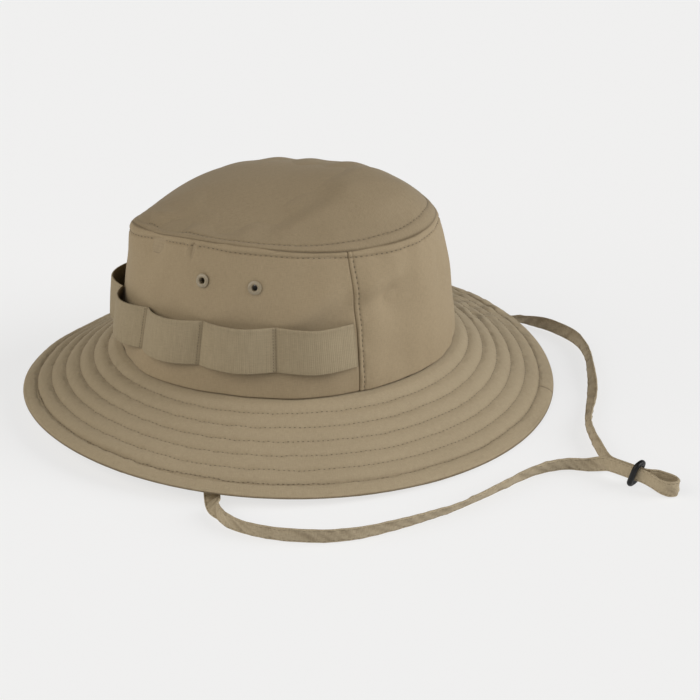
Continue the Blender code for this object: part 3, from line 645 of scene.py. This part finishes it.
def brim_piece(name, side, replaces):
    a, r = grid(TURNS, ROWS)
    mid = brim(a, r, -THICK / 2)
    half = THICK / 2 * brim_fold(r) + 0.00004
    relief = brim_relief(a, r, side) * np.clip((1 - r) * BRIM / 0.002, 0, 1) * np.clip(r * BRIM / 0.003, 0, 1)
    joint = turn_gap(a, JOINT_ANGLE) * 0.15
    ring = np.clip((r - 6 / 7) * 60, 0, 1)
    relief = relief + ring * (0.0004 * bump(joint, 0.0011, 0.0009) - 0.0005 * bump(joint, 0.0, 0.0006))
    lift = half + relief
    tuck = np.exp(-(r * BRIM / 0.0008) ** 2) * 0.0001
    outer = mid.copy()
    outer[..., 2] += side * (lift - tuck)
    inner = mid.copy()
    inner[..., 2] += side * 0.00012
    shift = -0.0009 * np.exp(-(r * BRIM / 0.0010) ** 2)
    for grid_points in (outer, inner):
        grid_points[..., :2] += unit(grid_points[..., :2]) * shift[..., None]
    near = np.abs(r * QUILT - np.round(r * QUILT)) * BRIM / QUILT
    stitched = (r > 0.5 / QUILT) & (r < 1 - 0.5 / QUILT)
    outer_row = bump(r * QUILT, 6.0, 0.10)
    # painted shade in the quilting grooves, at the crown seam, round the edge and at the hem joint
    shade = (0.10 + 0.20 * outer_row) * stitched * bump(near, 0.0, 0.0008) + 0.3 * bump(r * BRIM, 0.0, 0.0007)
    shade += 0.5 * bump((1 - r) * BRIM, 0.0, 0.00018) + ring * 0.6 * bump(joint, 0.0, 0.0006)
    piece = cloth(name, outer, inner, metric_uv(outer, True), True, np.clip(shade, 0, 1))
    if side < 0:
        piece.data.flip_normals()
    return place(piece, lit_brim_cloth, replaces=replaces), outer


JOINT_ANGLE = radians(-11.5)
brim_top, top_grid = brim_piece("brim_top_cloth", 1, ("brim_upper", "brim_interlining"))
brim_low, low_grid = brim_piece("brim_under_cloth", -1, ("brim_under",))

# ---------------------------------------------------------------- inside: sweatband, tapes, label
def band_inside(name, s_low, s_high, out, ply, material, node_name, sag=0.0, turns=None, closed=True):
    turns = TURNS[::2] if turns is None else turns
    rows = np.linspace(0, 1, 14)
    a, t = grid(turns, rows)
    low, high = s_low(a), s_high(a)
    s = low + (high - low) * t
    wobble = 0.00025 * waves(wall(a, s), 0.014, 71) - sag * np.sin(pi * t)
    puff = 0.0002 * np.sin(pi * t) ** 0.5
    outer = wall(a, s, out)
    inner = wall(a, s, out - ply + wobble - puff)
    piece = cloth(name, inner, outer, metric_uv(inner, closed), closed)
    piece.data.flip_normals()
    return place(piece, material, replaces=(node_name,)), inner


def share(height):
    return lambda a: height / (tip_h(a) - base_h(a))


def share_from_top(height):
    return lambda a: 1 - height / (tip_h(a) - base_h(a))


sweat, sweat_grid = band_inside("sweatband_cloth", share(-0.0025), share(0.0275), -0.0022, 0.0014,
                                lining_cloth, "sweatband")
_, tape_grid = band_inside("tip_tape_cloth", share_from_top(0.0115), share_from_top(0.0030), -0.0016,
                           0.0007, lining_cloth, "tip_seam_binding")
for side, centre in (("right", SEAM), ("left", -SEAM)):
    turns = np.linspace(centre - 0.055, centre + 0.055, 12)
    band_inside(f"side_tape_cloth_{side}", share(0.0285), share_from_top(0.0123), -0.0016, 0.0007,
                lining_cloth, f"side_seam_binding_{side}", turns=turns, closed=False)
label, _ = band_inside("blank_label_cloth", share(0.0035), share(0.0235), -0.0040, 0.0004,
                       label_cloth, "care_label", sag=0.0004,
                       turns=np.linspace(pi - 0.13, pi + 0.13, 24), closed=False)

# ---------------------------------------------------------------- webbing
BAND_START, BAND_END = SEAM + GAP / BASE_W, tau - SEAM - GAP / BASE_W


def band_turns(count):
    """Angles that step evenly along the webbing."""
    fine = np.linspace(BAND_START, BAND_END, 4000)
    s = (band_low(fine) + WEB_RUN / 2 - base_h(fine)) / (tip_h(fine) - base_h(fine))
    step = np.linalg.norm(np.diff(wall(fine, s), axis=0), axis=1)
    run = np.concatenate([[0], np.cumsum(step)])
    return np.interp(np.linspace(0, run[-1], count), run, fine)


def loop_gap(a, t, loops):
    """Air between webbing and side band; t is 0 at the lower edge and 1 at the upper."""
    behind = (1 - np.cos(a)) / 2
    slack = 0.0042 + (0.0066 - 0.0042) * behind ** 1.5
    rise = np.sin(pi * (loops % 1.0))
    return 0.0003 + slack * rise ** 0.95 * (0.97 + 0.06 * t)


def webbing():
    turns = band_turns(BAND_STEPS + 1)
    rows = np.unique(np.concatenate([np.linspace(0, 1, 15), [0.012, 0.03, 0.97, 0.988]]))
    a, t = grid(turns, rows)
    span = tip_h(a) - base_h(a)
    s = (band_low(a) - base_h(a) + WEB_RUN * t) / span
    loops = (np.arange(BAND_STEPS + 1) * LOOPS / BAND_STEPS)[:, None]
    gap = loop_gap(a, t, loops) + 0.0002
    edge = np.minimum(t, 1 - t) * 0.025
    soft = np.sqrt(np.clip(1 - (1 - np.clip(edge / 0.0006, 0, 1)) ** 2, 0, 1))
    half = WEB_T / 2 * (0.25 + 0.75 * soft)
    rim = 0.00008 * bump(edge, 0.0011, 0.0006)
    waver = 0.0003 * waves(wall(a, s), 0.03, 81)[:, :1] * np.ones_like(t)
    ds = waver / span
    outer = wall(a, s + ds, gap + WEB_T / 2 + half + rim)
    inner = wall(a, s + ds, gap + WEB_T / 2 - half)
    from_tack = np.abs(loops - np.round(loops)) * 0.0432
    # painted shade at the tacks and along the edges, and on the inner face of the loops
    shade = 0.28 * bump(from_tack, 0.0, 0.0007) + 0.12 * bump(edge, 0.0014, 0.0004)
    piece = cloth("foliage_webbing", outer, inner, metric_uv(outer, False), False, np.clip(shade, 0, 1), 0.45)
    return place(piece, web_cloth, replaces=("foliage_band",)), outer


web, web_grid = webbing()


# ---------------------------------------------------------------- stitching
def row_on(surface, params, e=1e-3):
    """Points and normals along a line of surface parameters (u, v)."""
    u, v = params
    p = surface(u, v)
    du = surface(u + e, v) - surface(u - e, v)
    dv = surface(u, v + e) - surface(u, v - e)
    return p, unit(np.cross(dv, du))


ROUND = np.linspace(0, tau, 1440)
crown_rows = []
crown_rows.append(row_on(wall_at, (ROUND, 1 - STITCH_IN / (tip_h(ROUND) - base_h(ROUND)))))
crown_rows.append(row_on(dome_at, (ROUND, np.full_like(ROUND, 1 - STITCH_IN / TIP_RADIUS))))
heights = np.linspace(0.01, 0.935, 160)
for mirror in (1, -1):
    seam = mirror * (SEAM - SEAM_LEAN * heights - SEAM_STITCH_IN / WALL_RADIUS)
    crown_rows.append(row_on(wall_at, (seam, heights)))
for index, (p, n) in enumerate(crown_rows):
    centre = Vector((0.0, 0.0, 0.06))
    flip = np.sign(((p - np.array(centre)) * n).sum(-1, keepdims=True))
    crown_rows[index] = (p, n * flip)
stitches("crown_topstitch", crown_rows, thread, pitch=0.0029, length=0.0016, radius=0.00037)

quilt_top, quilt_low = [], []
for ring in range(1, QUILT):
    r = np.full_like(ROUND, ring / QUILT)
    near = np.argmin(np.abs(ROWS - ring / QUILT))
    for rows, points, up in ((quilt_top, top_grid, 1), (quilt_low, low_grid, -1)):
        line = np.concatenate([points[:, near], points[:1, near]])
        n = normals(points, True)[:, near]
        n = np.concatenate([n, n[:1]])
        rows.append((line, n * np.sign(n[:, 2:3]) * up))
stitches("brim_quilting_top", quilt_top, thread)
stitches("brim_quilting_under", quilt_low, thread)

tack_rows = []
for number in range(1, LOOPS):
    index = number * BAND_STEPS // LOOPS
    line = web_grid[index, 1:-1]
    n = normals(web_grid, False)[index, 1:-1]
    outward = np.sign((line[:, :2] * n[:, :2]).sum(-1, keepdims=True))
    tack_rows.append((line, n * outward))
    near_line = web_grid[index + 3, 1:-1]
    tack_rows.append((near_line, n * outward))
tacks = stitches("webbing_tacks", tack_rows, thread, pitch=0.0016, length=0.0014, radius=0.00022)
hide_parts(*[f"loop_tack_{number}" for number in range(1, LOOPS)])

sweat_rows = []
for points, row in ((sweat_grid, 1), (sweat_grid, 12), (tape_grid, 1), (tape_grid, 12)):
    line = np.concatenate([points[:, row], points[:1, row]])
    sweat_rows.append((line, unit(-line * [1, 1, 0])))
stitches("inside_stitching", sweat_rows, thread)


# ---------------------------------------------------------------- eyelets and washers
def lathe(name, profile, centre, axis, segments=48):
    turn = axis.to_track_quat("Z", "Y").to_matrix()
    verts, faces = [], []
    for k in range(segments):
        t = tau * k / segments
        for radius, height in profile:
            verts.append(tuple(centre + turn @ Vector((radius * cos(t), radius * sin(t), height))))
    n = len(profile)
    for k in range(segments):
        m = (k + 1) % segments
        for i in range(n):
            j = (i + 1) % n
            faces.append((k * n + i, m * n + i, m * n + j, k * n + j))
    piece = mesh_object(name, verts, faces)
    piece.data.set_sharp_from_angle(angle=radians(60))
    return piece


def arc(cx, cy, radius, start, end, count):
    return [(cx + radius * cos(radians(start + (end - start) * k / (count - 1))),
             cy + radius * sin(radians(start + (end - start) * k / (count - 1)))) for k in range(count)]


for name, (centre, axis) in EYELETS.items():
    lip = [(0.0016, -0.0017), (0.0021, -0.0017), (0.0022, 0.0001), (0.0038, 0.0001)]
    lip += arc(0.0037, 0.00035, 0.00025, -60, 80, 6)
    lip += [(0.0033, 0.00083), (0.0028, 0.00102), (0.0023, 0.00100), (0.0019, 0.00078), (0.00165, 0.0003)]
    eyelet = lathe(f"eyelet_{name}", lip, centre, axis)
    place(eyelet, eyelet_paint, replaces=(f"vent_eyelet_{name}",))
    ring = [(0.0025, -0.0021), (0.0036, -0.0021), (0.0038, -0.0019), (0.0038, -0.0016), (0.0025, -0.0016)]
    washer = lathe(f"washer_{name}", ring, centre, axis)
    place(washer, eyelet_paint, replaces=(f"eyelet_washer_{name}",))

# ---------------------------------------------------------------- chin strap
STRAP_W, STRAP_T, STRAP_SQUEEZED = 0.0092, 0.0012, 0.0082
SLIDER = Vector((-0.0560, -0.2277, 0.0082))
HEADING = Vector((-0.33, -0.945, 0.0)).normalized()


def on_table(lean):
    return STRAP_W / 2 * abs(sin(radians(lean))) + STRAP_T / 2 * abs(cos(radians(lean))) + 0.0003


def beside_slider(along, across, z):
    side = Vector((-HEADING.y, HEADING.x, 0.0))
    at = SLIDER + HEADING * along + side * across
    return (at.x, at.y, z)


def strap_route():
    grip, run = SLIDER.z, STRAP_T / 2 + 0.0002
    return [
        ((-0.0833, -0.0020, 0.0440), 0), ((-0.0852, -0.0020, 0.0345), 0),
        ((-0.0875, -0.0020, 0.0240), 0), ((-0.0945, -0.0022, 0.0150), 0),
        ((-0.1060, -0.0040, 0.0075), 0), ((-0.1190, -0.0080, 0.0032), 5),
        ((-0.1315, -0.0135, on_table(14)), 14), ((-0.1435, -0.0198, on_table(17)), 17),
        ((-0.1522, -0.0249, on_table(38)), 38), ((-0.1590, -0.0305, on_table(80)), 80),
        ((-0.1660, -0.0395, on_table(92)), 92), ((-0.1700, -0.0525, on_table(103)), 103),
        ((-0.1702, -0.0700, on_table(104)), 104), ((-0.1665, -0.0880, on_table(104)), 104),
        ((-0.1615, -0.1005, on_table(106)), 106), ((-0.1525, -0.1135, on_table(111)), 111),
        ((-0.1385, -0.1275, on_table(117)), 117), ((-0.1255, -0.1385, on_table(123)), 123),
        ((-0.1120, -0.1485, on_table(127)), 127), ((-0.0860, -0.1625, on_table(120)), 120),
        ((-0.0710, -0.1700, on_table(117)), 117), ((-0.0595, -0.1780, on_table(115)), 115),
        ((-0.0520, -0.1880, on_table(111)), 111), ((-0.0495, -0.1990, on_table(104)), 104),
        (beside_slider(-0.0200, -run, 0.0076), 96), (beside_slider(-0.0145, -run, grip), 90),
        (beside_slider(-0.0060, -run, grip), 90), (beside_slider(0.0000, -run, grip), 90),
        (beside_slider(0.0050, -run, grip), 90), (beside_slider(0.0105, -0.0010, 0.0074), 90),
        (beside_slider(0.0160, -0.0010, 0.0060), 91), (beside_slider(0.0205, 0.0002, 0.0054), 92),
        (beside_slider(0.0232, 0.0034, 0.0052), 92), (beside_slider(0.0215, 0.0066, 0.0053), 91),
        (beside_slider(0.0170, 0.0074, 0.0059), 90), (beside_slider(0.0110, 0.0054, 0.0072), 90),
        (beside_slider(0.0075, 0.0020, 0.0081), 90), (beside_slider(0.0040, run, grip), 90),
        (beside_slider(0.0000, run, grip), 90), (beside_slider(-0.0060, run, grip), 90),
        (beside_slider(-0.0145, run, grip), 90), (beside_slider(-0.0195, 0.0028, 0.0074), 92),
        (beside_slider(-0.0245, 0.0072, 0.0058), 94),
        ((-0.0345, -0.2032, on_table(96)), 96), ((-0.0175, -0.1930, on_table(94)), 94),
        ((-0.0060, -0.1872, on_table(99)), 99), ((0.0060, -0.1835, on_table(114)), 114),
        ((0.0200, -0.1803, on_table(127)), 127), ((0.0380, -0.1760, on_table(127)), 127),
        ((0.0590, -0.1690, on_table(113)), 113), ((0.0780, -0.1618, on_table(102)), 102),
        ((0.0900, -0.1558, on_table(95)), 95), ((0.1020, -0.1470, on_table(93)), 93),
        ((0.1105, -0.1355, on_table(88)), 88), ((0.1165, -0.1225, on_table(79)), 79),
        ((0.1190, -0.1080, on_table(56)), 56), ((0.1205, -0.0930, on_table(32)), 32),
        ((0.1225, -0.0770, on_table(18)), 18), ((0.1235, -0.0580, on_table(6)), 6),
        ((0.1210, -0.0390, 0.0014), 0), ((0.1150, -0.0215, 0.0028), 0),
        ((0.1065, -0.0085, 0.0070), 0), ((0.0970, -0.0028, 0.0135), 0),
        ((0.0885, -0.0020, 0.0235), 0), ((0.0852, -0.0020, 0.0345), 0),
        ((0.0833, -0.0020, 0.0440), 0),
    ]


def strap_line(fineness=8):
    """Points and leans every millimetre or so along one smooth curve."""
    route = strap_route()
    points = np.array([[*at, lean] for at, lean in route])
    line = []
    for i in range(len(points) - 1):
        p0, p1, p2, p3 = points[max(i - 1, 0)], points[i], points[i + 1], points[min(i + 2, len(points) - 1)]
        for step in range(fineness):
            t = step / fineness
            line.append(0.5 * (2 * p1 + (p2 - p0) * t + (2 * p0 - 5 * p1 + 4 * p2 - p3) * t ** 2
                               + (3 * p1 - p0 - 3 * p2 + p3) * t ** 3))
    line.append(points[-1])
    return np.array(line)


def strap():
    line = strap_line()
    places, leans = line[:, :3], np.radians(line[:, 3])
    along = unit(np.gradient(places, axis=0))
    flat = unit(np.stack([-along[:, 1], along[:, 0], np.zeros(len(along))], -1))
    upright = np.cross(along, flat)
    upright *= np.sign(upright[:, 2:3])
    across = flat * np.cos(leans)[:, None] + upright * np.sin(leans)[:, None]
    face = np.cross(along, across)
    far = np.linalg.norm(places - np.array(SLIDER), axis=1)
    width = STRAP_SQUEEZED + (STRAP_W - STRAP_SQUEEZED) * np.clip((far - 0.015) / 0.006, 0, 1)
    run = np.concatenate([[0], np.cumsum(np.linalg.norm(np.diff(places, axis=0), axis=1))])
    # section: a flat sewn tube with rounded edges and a stitched dip near each
    x = np.array([0.1, 0.3, 0.5, 0.62, 0.70, 0.78, 0.86, 0.94, 0.985, 1.0])
    x = np.concatenate([-x[::-1], x])
    edge = (1 - np.abs(x)) * STRAP_W / 2
    half = np.sqrt(np.clip(1 - (1 - np.clip(edge / 0.0005, 0, 1)) ** 2, 0, 1)) * STRAP_T / 2
    half = half * (1 - 0.34 * bump(edge, 0.00125, 0.0004)) * (0.94 + 0.06 * np.clip(edge / 0.003, 0, 1))
    shells, shades = [], []
    # painted shadow: the run by the far side of the brim is darker
    hidden = (bump(places[:, 0], 0.114, 0.014) * bump(places[:, 1], -0.120, 0.024))[:, None]
    for sign in (1, -1):
        offset = x[None, :, None] * across[:, None, :] * width[:, None, None] / 2
        p = places[:, None, :] + offset
        calm = np.clip((far - 0.014) / 0.01, 0, 1)[:, None]
        twill = np.sin((run[:, None] + 0.6 * x[None] * STRAP_W) * tau / 0.0085 + 3 * waves(p, 0.05, 95))
        fold = (waves(p, 0.013, 91 + sign) + 0.9 * twill) * calm * np.clip(edge / 0.001, 0, 1)
        ripple = 0.00036 * fold
        # painted shade in the fold valleys, plus the painted shadow on the far run
        shades.append(np.clip(0.20 * np.clip(-sign * fold - 0.2, 0, 1.5) + 0.45 * hidden, 0, 1))
        p = p + face[:, None, :] * (sign * half[None, :, None] + ripple[..., None])
        shells.append(p)
    uv = np.stack(np.broadcast_arrays(run[:, None], x[None] * STRAP_W / 2), -1)
    piece = cloth("chin_strap_cloth", shells[0], shells[1], uv, False, *shades)
    piece.data.set_sharp_from_angle(angle=radians(70))
    place(piece, strap_cloth, replaces=("chin_strap",))
    rows = []
    for column in (4, 15):
        for sign, shell in zip((1, -1), shells):
            rows.append((shell[10:-10, column], sign * face[10:-10]))
    stitches("chin_strap_stitching", rows, thread, pitch=0.0026, length=0.0018, radius=0.00016, sunk=0.00006)
    return piece, places, float(run[-1])


strap_piece, strap_path, strap_length = strap()


def slider_piece():
    """The moulded ring: a rounded oblong swept with a round section."""
    across = Vector((-HEADING.y, HEADING.x, 0.0))
    lean = radians(20)
    up = Vector((0.0, 0.0, cos(lean))) + HEADING * sin(lean)
    up.normalize()
    through = across.cross(up).normalized()
    half_w, half_h, section = 0.00345, 0.00635 / cos(lean), 0.0032
    corner = 0.00265
    verts, faces = [], []
    line = []
    for quarter, (sx, sy) in enumerate(((1, 1), (-1, 1), (-1, -1), (1, -1))):
        for k in range(12):
            t = quarter * pi / 2 + k / 11 * pi / 2
            line.append((sx * (half_w - corner) + corner * cos(t), sy * (half_h - corner) + corner * sin(t)))
    sides = 24
    for i, (x, y) in enumerate(line):
        nx, ny = line[(i + 1) % len(line)], line[i - 1]
        tangent = (across * (nx[0] - ny[0]) + up * (nx[1] - ny[1])).normalized()
        out = tangent.cross(through).normalized()
        for k in range(sides):
            t = tau * k / sides
            verts.append(tuple(SLIDER + across * x + up * y
                               + (out * cos(t) + through * sin(t)) * section / 2))
    n = len(line)
    for i in range(n):
        j = (i + 1) % n
        for k in range(sides):
            m = (k + 1) % sides
            faces.append((i * sides + k, j * sides + k, j * sides + m, i * sides + m))
    piece = mesh_object("slider_ring", verts, faces)
    return place(piece, rubber, body="slider", replaces=("chin_strap_slider",))


slider = slider_piece()
for side, mirror in (("right", -1), ("left", 1)):
    rows = []
    for z in (0.0403, 0.0410, 0.0417):
        y = np.linspace(-0.0055, 0.0015, 12)
        x = mirror * (0.0829 + (0.0020 / 0.0095) * (0.0440 - z) - 0.0001)
        points = np.stack([np.full_like(y, x), y, np.full_like(y, z)], -1)
        rows.append((points, np.tile([-mirror, 0.0, 0.0], (len(y), 1))))
    bar = stitches(f"strap_tack_thread_{side}", rows, thread, pitch=0.0012, length=0.0011, radius=0.0002)
    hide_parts(f"strap_tack_{side}")


# ---------------------------------------------------------------- stage, light and camera
FLOOR_GLOW = 0.675
FOOTPRINT = (0.012, 0.008, 0.134, 0.140)   # centre x, y and half sizes of the table hidden by the hat


def floor_material(name, glow):
    material, tree, shader = nodes_of(name)
    shader.inputs["Base Color"].default_value = (0.24, 0.24, 0.24, 1.0)
    shader.inputs["Roughness"].default_value = 1.0
    shader.inputs["Specular IOR Level"].default_value = 0.0
    shader.inputs["Emission Color"].default_value = (1.0, 1.0, 1.0, 1.0)
    shader.inputs["Emission Strength"].default_value = glow
    return material


def stage():
    """A lit white table: it glows softly, but not in the middle, where the hat covers it."""
    count, reach = 64, 6.0
    turns = [tau * k / count for k in range(count)]
    x, y, half_x, half_y = FOOTPRINT
    verts = [(x + half_x * cos(t), y + half_y * sin(t), 0.0) for t in turns]
    verts += [(reach * cos(t), reach * sin(t), 0.0) for t in turns]
    ring = [(k, count + k, count + (k + 1) % count, (k + 1) % count) for k in range(count)]
    floor = mesh_object("floor", verts, [tuple(range(count))] + ring)
    floor.data.materials.append(floor_material("floor_under_hat", 0.0))
    floor.data.materials.append(floor_material("floor", FLOOR_GLOW))
    for polygon in floor.data.polygons[1:]:
        polygon.material_index = 1
    world = bpy.data.worlds.new("studio")
    bpy.context.scene.world = world
    world.use_nodes = True
    background = world.node_tree.nodes["Background"]
    background.inputs[0].default_value = (0.97, 0.98, 1.0, 1.0)
    background.inputs[1].default_value = 0.14


def sun(name, azimuth, elevation, strength, softness, colour=(1.0, 1.0, 1.0)):
    """A soft distant lamp: azimuth 0 is behind the camera, positive towards its right."""
    towards = (level * cos(radians(azimuth)) + cam_right * sin(radians(azimuth))) * cos(radians(elevation))
    towards.z = sin(radians(elevation))
    light = bpy.data.lights.new(name, "SUN")
    light.energy, light.angle, light.color = strength, radians(softness), colour
    obj = bpy.data.objects.new(name, light)
    bpy.context.scene.collection.objects.link(obj)
    obj.rotation_euler = (-towards).to_track_quat("-Z", "Y").to_euler()


def camera():
    az, el, roll, far = -1.161, 0.4429, -0.0421, 1.2
    back = Vector((sin(az) * cos(el), -cos(az) * cos(el), sin(el)))
    right = Vector((cos(az), sin(az), 0.0))
    up = back.cross(right)
    r = right * cos(roll) + up * sin(roll)
    u = up * cos(roll) - right * sin(roll)
    target = Vector((0.0, -0.0012, 0.066)) + r * 0.0382 - u * 0.0397
    data = bpy.data.cameras.new("camera")
    data.lens, data.sensor_width = 1723 * far * 36 / 700, 36.0
    obj = bpy.data.objects.new("camera", data)
    turn = Matrix((r, u, back)).transposed().to_4x4()
    obj.matrix_world = Matrix.Translation(target + back * far) @ turn
    bpy.context.scene.collection.objects.link(obj)
    bpy.context.scene.camera = obj
    return r, u, back


stage()
cam_right, cam_up, cam_back = camera()
level = Vector((cam_back.x, cam_back.y, 0.0)).normalized()
sun("key", 80, 24, 2.62, 45)
sun("fill", -40, 40, 0.90, 50, (1.0, 0.97, 0.92))
sun("side_fill", -85, 28, 1.05, 50, (1.0, 0.94, 0.84))
view = bpy.context.scene.view_settings
view.view_transform, view.look, view.exposure, view.gamma = "Standard", "None", 0.0, 1.0
